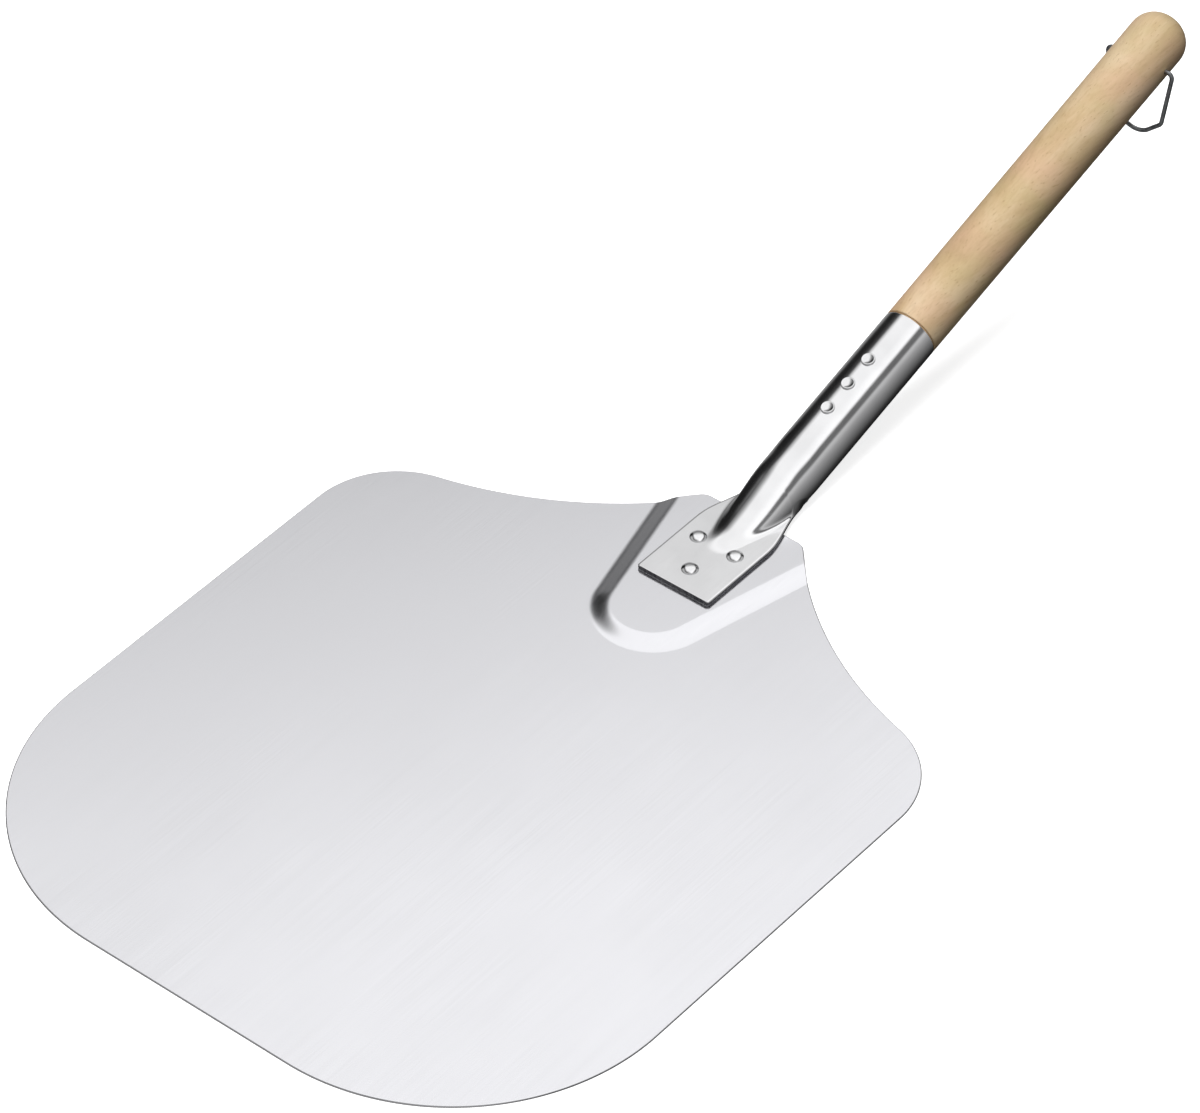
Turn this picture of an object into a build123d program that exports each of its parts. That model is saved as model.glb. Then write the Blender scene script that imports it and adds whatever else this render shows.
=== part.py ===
"""Pizza peel: riveted aluminium blade, pressed tube socket, turned wooden handle, wire hanging loop.

Millimetres. +X runs from the blade's front edge towards the handle's tip, +Z is up and the blade's
flat underside lies on Z = 0. The frame's origin is the centre of the whole peel's footprint.
"""
from build123d import *
import math
import os

# ---- driving dimensions ------------------------------------------------------------------------
BLADE_WIDTH = 304.8            # 12 in, across the rear corners
BLADE_LENGTH = 353.6           # front edge to the end of the neck
FRONT_WIDTH = 302.0            # the side edges close in slightly towards the front
FRONT_CORNER_RADIUS = 100.0
REAR_CORNER_RADIUS = 41.4
REAR_CORNER_X = 252.6          # where the rear corner rounding starts
SHOULDER_RADIUS = 185.3        # hollow curve from the rear corner into the neck
NECK_HALF_WIDTH = 25.6
NECK_CORNER_RADIUS = 8.0
SHEET = 1.2                    # blade sheet thickness
SHEET_EDGE_RADIUS = 0.3

STEP_HEIGHT = 2.5              # how far the pressed pad stands above the blade
STEP_BAND = 5.5                # width of the sloping wall, seen from above
STEP_FRONT_X = 264.0           # foremost point of the wall's middle line
STEP_ARC_RADIUS = 22.0
STEP_LEG_ANGLE = 14.0          # each leg of the U opens by this much
STEP_ROUNDING = 3.0

TUBE_DIAMETER = 25.4           # 1 in
TUBE_WALL = 1.1
TUBE_TILT = 16.5               # degrees above the blade
TUBE_AXIS_X = 338.5            # where the tube's centre line crosses Z = 0
TUBE_MOUTH_X = 460.0
TUBE_ROUND_X = 387.0           # the tube is fully round from here back
TUBE_JOIN_X = 398.0            # the pressed stretch is joined to the plain tube here
PLATE_FRONT_X = 298.9
PLATE_HALF_WIDTH = 18.8
PLATE_CORNER_RADIUS = 1.2
PLATE_SHOULDER = ((338.0, 18.8), (350.0, 18.8), (356.0, 13.0), (376.0, 10.6))
# Where the round tube is pressed down into the plate: x, half width, centre height, half height.
RIDGE_STATIONS = (
    (330.0, 7.4, 3.7, 2.3),
    (337.0, 8.8, 3.8, 4.4),
    (344.0, 9.9, 4.1, 6.7),
    (351.0, 10.8, 4.9, 8.9),
    (359.0, 11.6, 6.6, 10.9),
    (368.0, 12.3, 9.1, 12.5),
    (378.0, 12.6, 11.6, 13.1),
)

RIVET_SHANK = 4.0
RIVET_HEAD = 7.4
RIVET_HEAD_HEIGHT = 1.5
RIVET_TAIL = 6.4
RIVET_TAIL_HEIGHT = 1.2
RIVET_PLACES = ((310.4, 0.0), (328.1, 9.7), (328.1, -9.7))

NAIL_FIRST = 27.4              # distance of the first nail from the socket's mouth
NAIL_PITCH = 14.4
NAIL_COUNT = 3
NAIL_SHANK = 2.2
NAIL_HEAD = 5.6
NAIL_HEAD_HEIGHT = 1.2
NAIL_LENGTH = 12.0
NAIL_POINT = 2.5
NAIL_TIP_RADIUS = 0.05
PILOT_EXTRA = 0.2              # the hole in the wood is this much deeper than the nail

TENON_LENGTH = 60.0            # wood inside the socket
HANDLE_LENGTH = 193.4          # wood outside the socket
HANDLE_SHOULDER_RADIUS = 0.5   # softened edge of the wood at the socket's mouth
HANDLE_TIP_DIAMETER = 26.8
HANDLE_END_RADIUS = 11.5       # rounding of the tip, almost a full dome

WIRE = 2.0
LOOP_FROM_TIP = 23.5           # centre of the cross hole
LOOP_TOP_HALF_WIDTH = 17.3
LOOP_CORNER_HALF_WIDTH = 13.2
LOOP_CORNER_DROP = 29.0
LOOP_DROP = 37.5
LOOP_TOP_BEND = 2.6
LOOP_CORNER_BEND = 4.0
LOOP_MIDDLE_BEND = 10.0
LOOP_MIDDLE_CUT = 0.35         # how far the middle bend rounds off its corner, per unit of radius
LOOP_TANG = 9.0                # length of wire inside each end of the cross hole

WOOD_CLEARANCE = 0.05          # radial, tenon in tube
METAL_CLEARANCE = 0.02         # radial, rivets and nails in their holes
PIVOT_CLEARANCE = 0.08         # radial, wire in the cross hole

BLOCK = 400.0                  # side of the blocks that shapes are cut with, larger than any piece
NEAR = 0.01                    # places closer together than this are the same place

# ---- derived places ----------------------------------------------------------------------------
PAD_TOP = STEP_HEIGHT + SHEET
PLATE_THICKNESS = 2 * TUBE_WALL
PLATE_TOP = PAD_TOP + PLATE_THICKNESS
TUBE_RADIUS = TUBE_DIAMETER / 2
BORE_RADIUS = TUBE_RADIUS - TUBE_WALL
TILT = math.radians(TUBE_TILT)
AXIS = Vector(math.cos(TILT), 0, math.sin(TILT))


def axis_height(x):
    """Height of the tube's centre line at x."""
    return (x - TUBE_AXIS_X) * math.tan(TILT)


MOUTH = Vector(TUBE_MOUTH_X, 0, axis_height(TUBE_MOUTH_X))
TIP = MOUTH + AXIS * HANDLE_LENGTH
PIVOT = TIP - AXIS * LOOP_FROM_TIP


def along_axis(distance):
    """Plane across the handle, its normal along the handle, at a distance behind the mouth."""
    return Plane(origin=MOUTH + AXIS * distance, x_dir=(0, 1, 0), z_dir=AXIS)


def polar(centre, radius, degrees):
    """Point on a circle in the blade's plane."""
    angle = math.radians(degrees)
    return Vector(centre.X + radius * math.cos(angle), centre.Y + radius * math.sin(angle))


def corners_at(outline, x):
    """Corners of a flat outline at a place along the blade, away from the centre line."""
    return outline.vertices().filter_by(lambda v: abs(v.X - x) < NEAR and abs(v.Y) > NEAR)


def blade_outline():
    """Flat outline of the blade: straight front and sides, round corners, hollow shoulders, neck."""
    half = BLADE_WIDTH / 2
    lean = math.degrees(math.atan2(half - FRONT_WIDTH / 2, REAR_CORNER_X))
    side_end = Vector(REAR_CORNER_X, half)
    corner = polar(side_end, REAR_CORNER_RADIUS, lean - 90)
    neck = Vector(BLADE_LENGTH, NECK_HALF_WIDTH)
    # The hollow curve touches the corner's circle from outside and ends at the neck.
    reach = SHOULDER_RADIUS + REAR_CORNER_RADIUS
    base = neck - corner
    along = (reach ** 2 - SHOULDER_RADIUS ** 2 + base.length ** 2) / (2 * base.length)
    across = math.sqrt(reach ** 2 - along ** 2)
    unit = base.normalized()
    hollow = corner + unit * along + Vector(-unit.Y, unit.X) * across
    touch_angle = math.degrees(math.atan2(hollow.Y - corner.Y, hollow.X - corner.X))
    neck_angle = math.degrees(math.atan2(neck.Y - hollow.Y, neck.X - hollow.X))
    hollow_start = touch_angle + 180
    hollow_middle = (hollow_start + neck_angle % 360) / 2
    touch = polar(corner, REAR_CORNER_RADIUS, touch_angle)
    corner_middle = polar(corner, REAR_CORNER_RADIUS, (lean + 90 + touch_angle) / 2)
    half_edges = [
        Line((0, 0), (0, FRONT_WIDTH / 2)),
        Line((0, FRONT_WIDTH / 2), side_end),
        ThreePointArc(side_end, corner_middle, touch),
        ThreePointArc(touch, polar(hollow, SHOULDER_RADIUS, hollow_middle), neck),
        Line(neck, (BLADE_LENGTH, 0)),
    ]
    upper_half = make_face(half_edges + [Line((BLADE_LENGTH, 0), (0, 0))])
    outline = upper_half + mirror(upper_half, Plane.XZ)
    outline = fillet(corners_at(outline, 0), FRONT_CORNER_RADIUS)
    return fillet(corners_at(outline, BLADE_LENGTH), NECK_CORNER_RADIUS)


def pad_outline(offset, z):
    """U-shaped outline of the raised pad, moved outwards by offset, open towards the handle."""
    lean = math.radians(STEP_LEG_ANGLE)
    radius = STEP_ARC_RADIUS + offset
    centre_x = STEP_FRONT_X + STEP_ARC_RADIUS
    start = Vector(centre_x - radius * math.sin(lean), radius * math.cos(lean), z)
    end = Vector(BLOCK, start.Y + (BLOCK - start.X) * math.tan(lean), z)
    nose = Vector(centre_x - radius, 0, z)
    other_start = Vector(start.X, -start.Y, z)
    other_end = Vector(end.X, -end.Y, z)
    return make_face([
        ThreePointArc(start, nose, other_start),
        Line(other_start, other_end),
        Line(other_end, end),
        Line(end, start),
    ])


def step_edges(press, z):
    """Edges of the pressed step at a height, without those beyond the blade's end."""
    return press.edges().filter_by(lambda e: abs(e.center().Z - z) < NEAR and 0 < e.center().X < BLADE_LENGTH)


def blade():
    """Sheet with a U-shaped pressed step around the pad that the socket is riveted to."""
    outer = pad_outline(STEP_BAND / 2, SHEET)
    inner = pad_outline(-STEP_BAND / 2, PAD_TOP)
    press = Pos(0, 0, SHEET - BLOCK / 2) * Box(3 * BLOCK, BLOCK, BLOCK) + loft([outer, inner])
    press = fillet(step_edges(press, PAD_TOP), STEP_ROUNDING)
    press = fillet(step_edges(press, SHEET), STEP_ROUNDING)
    sheet = press - Pos(0, 0, -SHEET) * press
    sheet = sheet & extrude(Pos(0, 0, -SHEET) * blade_outline(), PAD_TOP + 2 * SHEET)
    for place in RIVET_PLACES:
        sheet -= Pos(place[0], place[1], PAD_TOP) * Cylinder(RIVET_SHANK / 2 + METAL_CLEARANCE, 4 * SHEET)
    rim = sheet.edges().filter_by(lambda e: e.center().X < REAR_CORNER_X)
    return fillet(rim, SHEET_EDGE_RADIUS)


def plate_outline():
    """Plan view of the flattened end: straight sides that round in towards the tube."""
    shoulder, tail = PLATE_SHOULDER[0], PLATE_SHOULDER[-1]
    upper_half = make_face([
        Line((PLATE_FRONT_X, 0), (PLATE_FRONT_X, PLATE_HALF_WIDTH)),
        Line((PLATE_FRONT_X, PLATE_HALF_WIDTH), shoulder),
        Bezier(*PLATE_SHOULDER),
        Line(tail, (tail[0], 0)),
        Line((tail[0], 0), (PLATE_FRONT_X, 0)),
    ])
    outline = upper_half + mirror(upper_half, Plane.XZ)
    return fillet(corners_at(outline, PLATE_FRONT_X), PLATE_CORNER_RADIUS)


def upright_ellipse(x, half_width, centre_z, half_height):
    """Section of the socket in an upright plane across it."""
    plane = Plane(origin=(x, 0, centre_z), x_dir=(0, 1, 0), z_dir=(1, 0, 0))
    return plane * Ellipse(half_width, half_height)


def pressed_ridge(inset):
    """The stretch where the round tube is pressed down: outer skin, or inner with the wall as inset."""
    sections = [upright_ellipse(x, w - inset, z, h - inset) for x, w, z, h in RIDGE_STATIONS]
    if inset:
        sections = sections[1:]
    radius = TUBE_RADIUS - inset
    for x in (TUBE_ROUND_X, (TUBE_ROUND_X + TUBE_JOIN_X) / 2, TUBE_JOIN_X):
        sections.append(upright_ellipse(x, radius, axis_height(x), radius / math.cos(TILT)))
    return loft(sections)


def above(z):
    """Everything above a height, as a block to cut with."""
    return Pos(TUBE_ROUND_X, 0, z) * Box(BLOCK, BLOCK, BLOCK, align=(Align.CENTER, Align.CENTER, Align.MIN))


def behind(x):
    """Everything behind a place, as a block to cut with."""
    return Pos(x, 0, 0) * Box(BLOCK, BLOCK, BLOCK, align=(Align.MIN, Align.CENTER, Align.CENTER))


def tube(radius):
    """Solid rod along the handle's line, from the pressed stretch to the socket's mouth."""
    reach = TUBE_MOUTH_X - PLATE_FRONT_X
    rod = along_axis(-reach) * Cylinder(radius, reach, align=(Align.CENTER, Align.CENTER, Align.MIN))
    return rod & behind(TUBE_JOIN_X)


def handle_socket():
    """Tube pressed flat at its front end, riveted to the blade's pad and nailed to the handle."""
    plate = extrude(Pos(0, 0, PAD_TOP) * plate_outline(), PLATE_THICKNESS)
    skin = (pressed_ridge(0) & above(PAD_TOP)) + plate
    skin = skin + tube(TUBE_RADIUS)
    hollow = (pressed_ridge(TUBE_WALL) & above(PAD_TOP + TUBE_WALL)) + tube(BORE_RADIUS)
    socket = skin - hollow
    for place in RIVET_PLACES:
        socket -= Pos(place[0], place[1], PLATE_TOP) * Cylinder(RIVET_SHANK / 2 + METAL_CLEARANCE, 4 * SHEET)
    for distance in nail_distances():
        socket -= nail_plane(distance) * Cylinder(NAIL_SHANK / 2 + METAL_CLEARANCE, 4 * TUBE_WALL)
    return socket


def nail_distances():
    """Distances of the nails from the socket's mouth, counted towards the blade."""
    return [NAIL_FIRST + NAIL_PITCH * i for i in range(NAIL_COUNT)]


def nail_plane(distance):
    """Plane touching the tube's top line, its normal pointing out of the tube."""
    outward = Vector(-math.sin(TILT), 0, math.cos(TILT))
    return Plane(origin=MOUTH - AXIS * distance + outward * TUBE_RADIUS, x_dir=(0, 1, 0), z_dir=outward)


def dome(diameter, height):
    """Low domed head, flat side on Z = 0."""
    radius = diameter / 2
    sphere = (radius ** 2 + height ** 2) / (2 * height)
    cap = Pos(0, 0, height - sphere) * Sphere(sphere)
    return cap & Cylinder(diameter, height, align=(Align.CENTER, Align.CENTER, Align.MIN))


def blade_rivet(place):
    """Solid rivet: domed head on the socket's plate, shank, and a low domed tail below the pad."""
    head = Pos(0, 0, PLATE_TOP) * dome(RIVET_HEAD, RIVET_HEAD_HEIGHT)
    tail = Pos(0, 0, STEP_HEIGHT) * Rot(180, 0, 0) * dome(RIVET_TAIL, RIVET_TAIL_HEIGHT)
    middle = (PLATE_TOP + STEP_HEIGHT) / 2
    # The shank runs a little way into both heads.
    shank = Pos(0, 0, middle) * Cylinder(RIVET_SHANK / 2, PLATE_TOP - STEP_HEIGHT + 2 * SHEET_EDGE_RADIUS)
    return Pos(place[0], place[1], 0) * (head + shank + tail)


def socket_nail(distance):
    """Nail through the tube's top into the tenon; the head's underside follows the tube."""
    radius = NAIL_SHANK / 2
    straight = NAIL_LENGTH - NAIL_POINT
    hanging = (Align.CENTER, Align.CENTER, Align.MAX)
    shank = Cylinder(radius, straight, align=hanging)
    point = Pos(0, 0, -straight) * Cone(NAIL_TIP_RADIUS, radius, NAIL_POINT, align=hanging)
    # The head starts below the tube's crown and is trimmed to the tube's round surface.
    sink = TUBE_RADIUS - math.sqrt(TUBE_RADIUS ** 2 - (NAIL_HEAD / 2) ** 2)
    skirt = Cylinder(NAIL_HEAD / 2, sink, align=hanging)
    head = dome(NAIL_HEAD, NAIL_HEAD_HEIGHT) + skirt
    rod = Pos(0, 0, -TUBE_RADIUS) * Rot(90, 0, 0) * Cylinder(TUBE_RADIUS, 4 * NAIL_HEAD)
    return nail_plane(distance) * (head - rod + shank + point)


def nail_pilot(distance):
    """Hole that a nail fills in the wood."""
    return nail_plane(distance) * Cylinder(
        NAIL_SHANK / 2 + METAL_CLEARANCE,
        NAIL_LENGTH + PILOT_EXTRA,
        align=(Align.CENTER, Align.CENTER, Align.MAX),
    )


def handle():
    """Turned wood: tenon in the socket, slightly swelling grip, rounded end, cross hole for the wire."""
    tenon = BORE_RADIUS - WOOD_CLEARANCE
    tip = HANDLE_TIP_DIAMETER / 2
    outline = Polyline(
        (0, -TENON_LENGTH),
        (tenon, -TENON_LENGTH),
        (tenon, 0),
        (TUBE_RADIUS, 0),
        (tip, HANDLE_LENGTH),
        (0, HANDLE_LENGTH),
        close=True,
    )
    profile = make_face(outline)
    end_corner = profile.vertices().filter_by(lambda v: v.X > tip - NEAR)
    profile = fillet(end_corner, HANDLE_END_RADIUS)
    shoulder = profile.vertices().filter_by(lambda v: v.X > tenon + NEAR and abs(v.Y) < NEAR)
    profile = fillet(shoulder, HANDLE_SHOULDER_RADIUS)
    turned = revolve(Plane.XZ * profile, Axis.Z)
    wood = along_axis(0) * turned
    wood -= Pos(PIVOT) * Rot(90, 0, 0) * Cylinder(WIRE / 2 + PIVOT_CLEARANCE, 2 * HANDLE_TIP_DIAMETER)
    for distance in nail_distances():
        wood -= nail_pilot(distance)
    return wood


def hanging_loop():
    """One bent wire: both ends turn into the cross hole, the loop hangs below the handle."""
    hole_end = HANDLE_TIP_DIAMETER / 2 - LOOP_TANG
    vertex_drop = LOOP_DROP + LOOP_MIDDLE_BEND * LOOP_MIDDLE_CUT
    half = [
        (hole_end, 0),
        (LOOP_TOP_HALF_WIDTH, 0),
        (LOOP_CORNER_HALF_WIDTH, -LOOP_CORNER_DROP),
    ]
    route = half + [(0, -vertex_drop)] + [(-y, z) for y, z in reversed(half)]
    bends = [LOOP_TOP_BEND, LOOP_CORNER_BEND, LOOP_MIDDLE_BEND, LOOP_CORNER_BEND, LOOP_TOP_BEND]
    plane = Plane(origin=PIVOT, x_dir=(0, 1, 0), z_dir=(1, 0, 0))
    path = plane * FilletPolyline(*route, radius=bends)
    start = Plane(origin=path @ 0, z_dir=path % 0)
    return sweep(start * Circle(WIRE / 2), path=path)


def all_parts():
    """Every piece, by node name, in the frame of the blade's front edge."""
    parts = {
        "blade": blade(),
        "handle_socket": handle_socket(),
        "handle": handle(),
        "hanging_loop": hanging_loop(),
    }
    for number, place in enumerate(RIVET_PLACES, 1):
        parts[f"blade_rivet_{number}"] = blade_rivet(place)
    for number, distance in enumerate(nail_distances(), 1):
        parts[f"socket_nail_{number}"] = socket_nail(distance)
    return parts


parts = all_parts()
boxes = [shape.bounding_box() for shape in parts.values()]
footprint_x = (min(box.min.X for box in boxes) + max(box.max.X for box in boxes)) / 2
os.makedirs("parts", exist_ok=True)
for name, shape in parts.items():
    export_step(Pos(-footprint_x, 0, 0) * shape, f"parts/{name}.step")
print("footprint centre at", footprint_x, "behind the front edge")
print("loop pivot", PIVOT - Vector(footprint_x, 0, 0))
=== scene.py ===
"""Looks of the pizza peel: satin aluminium blade, polished tube socket, beech handle, steel wire loop."""
import bpy
import math
import numpy as np
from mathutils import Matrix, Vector
from mathutils.geometry import delaunay_2d_cdt


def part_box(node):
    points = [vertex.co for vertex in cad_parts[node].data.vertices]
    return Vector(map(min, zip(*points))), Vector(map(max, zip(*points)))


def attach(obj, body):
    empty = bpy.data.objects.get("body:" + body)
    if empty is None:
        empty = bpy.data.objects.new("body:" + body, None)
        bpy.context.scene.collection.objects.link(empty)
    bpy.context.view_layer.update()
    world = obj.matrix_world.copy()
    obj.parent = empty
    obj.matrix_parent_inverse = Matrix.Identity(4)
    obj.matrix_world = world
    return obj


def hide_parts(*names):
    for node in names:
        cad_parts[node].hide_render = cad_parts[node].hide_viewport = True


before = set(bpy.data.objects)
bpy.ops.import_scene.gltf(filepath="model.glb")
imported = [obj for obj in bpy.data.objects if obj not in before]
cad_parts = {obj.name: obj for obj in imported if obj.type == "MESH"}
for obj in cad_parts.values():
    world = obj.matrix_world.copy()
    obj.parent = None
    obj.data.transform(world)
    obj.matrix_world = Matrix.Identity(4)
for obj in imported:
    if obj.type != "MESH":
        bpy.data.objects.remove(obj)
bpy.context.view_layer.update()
MM = 0.001
FRONT_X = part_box("blade")[0].x / MM       # the blade's front edge, from which lengths are counted

# ---- camera ------------------------------------------------------------------------------------
CAMERA_AZIMUTH = math.radians(39.14)      # the way the camera looks, from +X towards +Y
CAMERA_ELEVATION = math.radians(42.10)
CAMERA_DISTANCE = 2.477
CAMERA_LENS = 179.15
CAMERA_SENSOR = 36.0
CAMERA_CLIP_END = 50.0
CAMERA_TARGET = Vector((-0.0258, 0.0373, 0.0006))


def add_camera():
    """Long lens from the front left, looking down over the blade towards the handle."""
    data = bpy.data.cameras.new("camera")
    data.lens = CAMERA_LENS
    data.sensor_width = CAMERA_SENSOR
    data.sensor_fit = "HORIZONTAL"
    data.clip_end = CAMERA_CLIP_END
    camera = bpy.data.objects.new("camera", data)
    bpy.context.scene.collection.objects.link(camera)
    look = Vector((
        math.cos(CAMERA_AZIMUTH) * math.cos(CAMERA_ELEVATION),
        math.sin(CAMERA_AZIMUTH) * math.cos(CAMERA_ELEVATION),
        -math.sin(CAMERA_ELEVATION),
    ))
    camera.location = CAMERA_TARGET - look * CAMERA_DISTANCE
    camera.rotation_euler = look.to_track_quat("-Z", "Y").to_euler()
    bpy.context.scene.camera = camera
    bpy.context.scene.view_settings.view_transform = "Standard"


# ---- node trees --------------------------------------------------------------------------------
class Graph:
    """Small helper to build a node tree."""

    def __init__(self, tree):
        self.tree = tree

    def node(self, kind, **settings):
        node = self.tree.nodes.new(kind)
        for key, value in settings.items():
            setattr(node, key, value)
        return node

    def link(self, source, target):
        self.tree.links.new(source, target)

    def fill(self, sockets, values):
        """Give sockets a number, a colour or a link."""
        for socket, value in zip(sockets, values):
            if isinstance(value, (int, float)):
                socket.default_value = value
            elif isinstance(value, tuple):
                socket.default_value = (*value, 1)
            else:
                self.link(value, socket)

    def maths(self, operation, a, b=0.0):
        node = self.node("ShaderNodeMath", operation=operation)
        self.fill(node.inputs, (a, b))
        return node.outputs["Value"]

    def spread(self, value, low, high, from_low=0.3, from_high=0.7):
        """Map a range of values onto another, held at its ends."""
        node = self.node("ShaderNodeMapRange")
        node.inputs["From Min"].default_value = from_low
        node.inputs["From Max"].default_value = from_high
        node.inputs["To Min"].default_value = low
        node.inputs["To Max"].default_value = high
        self.link(value, node.inputs["Value"])
        return node.outputs["Result"]

    def ramp(self, value, stops):
        """Colours along a value: pairs of place and colour."""
        node = self.node("ShaderNodeValToRGB")
        ramp = node.color_ramp
        while len(ramp.elements) < len(stops):
            ramp.elements.new(0.5)
        for element, (place, colour) in zip(ramp.elements, stops):
            element.position = place
            element.color = (*colour, 1)
        self.link(value, node.inputs["Fac"])
        return node.outputs["Color"]

    def profile(self, value, stops):
        """Piecewise brightness along a value: pairs of value and brightness."""
        low, high = stops[0][0], stops[-1][0]
        top = max(brightness for _, brightness in stops)
        places = [((p - low) / (high - low), (b / top,) * 3) for p, b in stops]
        colour = self.ramp(self.spread(value, 0, 1, low, high), places)
        return self.maths("MULTIPLY", colour, top)

    def mix(self, factor, a, b):
        node = self.node("ShaderNodeMix", data_type="RGBA")
        self.fill((node.inputs[0], node.inputs[6], node.inputs[7]), (factor, a, b))
        return node.outputs[2]


class Material(Graph):
    """A procedural material around one Principled shader."""

    def __init__(self, name, metallic=0.0):
        self.material = bpy.data.materials.new(name)
        self.material.use_nodes = True
        super().__init__(self.material.node_tree)
        self.shader = self.tree.nodes["Principled BSDF"]
        self.shader.inputs["Metallic"].default_value = metallic

    def position(self, scale=(1, 1, 1), rotation=(0, 0, 0)):
        """Object coordinates, turned and stretched."""
        coordinates = self.node("ShaderNodeTexCoord")
        mapping = self.node("ShaderNodeMapping")
        mapping.inputs["Rotation"].default_value = rotation
        mapping.inputs["Scale"].default_value = scale
        self.link(coordinates.outputs["Object"], mapping.inputs["Vector"])
        return mapping.outputs["Vector"]

    def noise(self, vector, scale, detail=4.0, roughness=0.5, distortion=0.0):
        node = self.node("ShaderNodeTexNoise")
        node.inputs["Scale"].default_value = scale
        node.inputs["Detail"].default_value = detail
        node.inputs["Roughness"].default_value = roughness
        node.inputs["Distortion"].default_value = distortion
        self.link(vector, node.inputs["Vector"])
        return node.outputs["Fac"]

    def bump(self, height, strength, distance):
        node = self.node("ShaderNodeBump")
        node.inputs["Strength"].default_value = strength
        node.inputs["Distance"].default_value = distance
        self.link(height, node.inputs["Height"])
        self.link(node.outputs["Normal"], self.shader.inputs["Normal"])

    def colour(self, value):
        self.link(value, self.shader.inputs["Base Color"])

    def rough(self, value):
        self.link(value, self.shader.inputs["Roughness"])


# ---- stage and light ---------------------------------------------------------------------------
FLOOR_HALF_SIZE = 15.0
FLOOR_GLOW = 0.74
CEILING_HORIZON = 0.02                    # directions lower than this meet the ceiling no farther out
# Brightness of the overhead softbox against the place on a ceiling one unit up.
BOX_SLANT = 0.45
BOX_ACROSS = (
    (-1.12, 0.0), (-0.84, 1.03), (0.54, 1.03), (0.58, 0.95), (0.67, 0.72), (0.86, 0.34),
    (1.15, 0.11), (1.8, 0.03), (3.5, 0.0),
)
BOX_ALONG = ((-1.0, 0.0), (-0.35, 1.0), (0.95, 1.0), (1.3, 0.5), (2.0, 0.1), (3.0, 0.0))
CORNER_SLANT = 0.58
BOX_CORNER = (
    (0.9, 1.03), (1.0, 1.12), (1.10, 1.09), (1.15, 0.96), (1.20, 0.75), (1.25, 0.57),
    (1.35, 0.38), (3.0, 0.08),
)
# The other parts depend on the direction itself. A dim wall stands behind the peel and is seen in
# its steep step, and a dim ground lies in front of it.
WALL_BEHIND = ((0.42, 0.0), (0.55, 0.36), (1.0, 0.36))
WALL_SIDE = ((0.2, 0.0), (0.5, 1.0))
WALL_HEIGHT = ((0.30, 1.0), (0.52, 0.0))
GROUND_FRONT = ((-0.45, 0.25), (-0.1, 0.0))
GROUND_HEIGHT = ((-0.5, 1.0), (-0.1, 0.0))
# A screen on the -Y side.
SCREEN_HEIGHT = (
    (-0.67, 0.04), (-0.47, 0.12), (-0.20, 0.22), (0.10, 0.36), (0.37, 0.60), (0.50, 0.15),
)
SCREEN_SIDE = ((-0.5, 1.0), (-0.15, 0.0))
# A grey screen beyond the blade's front edge, mirrored by flat metal seen from the handle's side.
BACK_SIDE = ((-0.20, 1.0), (0.10, 0.0))
BACK_HEIGHT = ((0.0, 0.0), (0.12, 0.42), (0.55, 0.50), (0.72, 0.0))
WALL_LIGHT = 0.015
FILL = 0.33                               # the share of the studio's light that dull surfaces get
KEY_POWER = 29.0
KEY_SIZE = 1.0
KEY_PLACE = (-0.3, 0.08, 1.65)


def add_floor():
    """Pale floor that glows a little like a light table, so that it stays near white."""
    mesh = bpy.data.meshes.new("floor")
    corners = [(x * FLOOR_HALF_SIZE, y * FLOOR_HALF_SIZE, 0) for x, y in ((-1, -1), (1, -1), (1, 1), (-1, 1))]
    mesh.from_pydata(corners, [], [(0, 1, 2, 3)])
    floor = bpy.data.objects.new("floor", mesh)
    bpy.context.scene.collection.objects.link(floor)
    paint = Material("floor_white")
    paint.shader.inputs["Base Color"].default_value = (0.85, 0.85, 0.85, 1)
    paint.shader.inputs["Roughness"].default_value = 0.9
    paint.shader.inputs["Emission Color"].default_value = (1, 1, 1, 1)
    paint.shader.inputs["Emission Strength"].default_value = FLOOR_GLOW
    mesh.materials.append(paint.material)
    # The metal mirrors the studio's dark ground, not the glow.
    floor.visible_glossy = False
    floor.visible_diffuse = False


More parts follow.
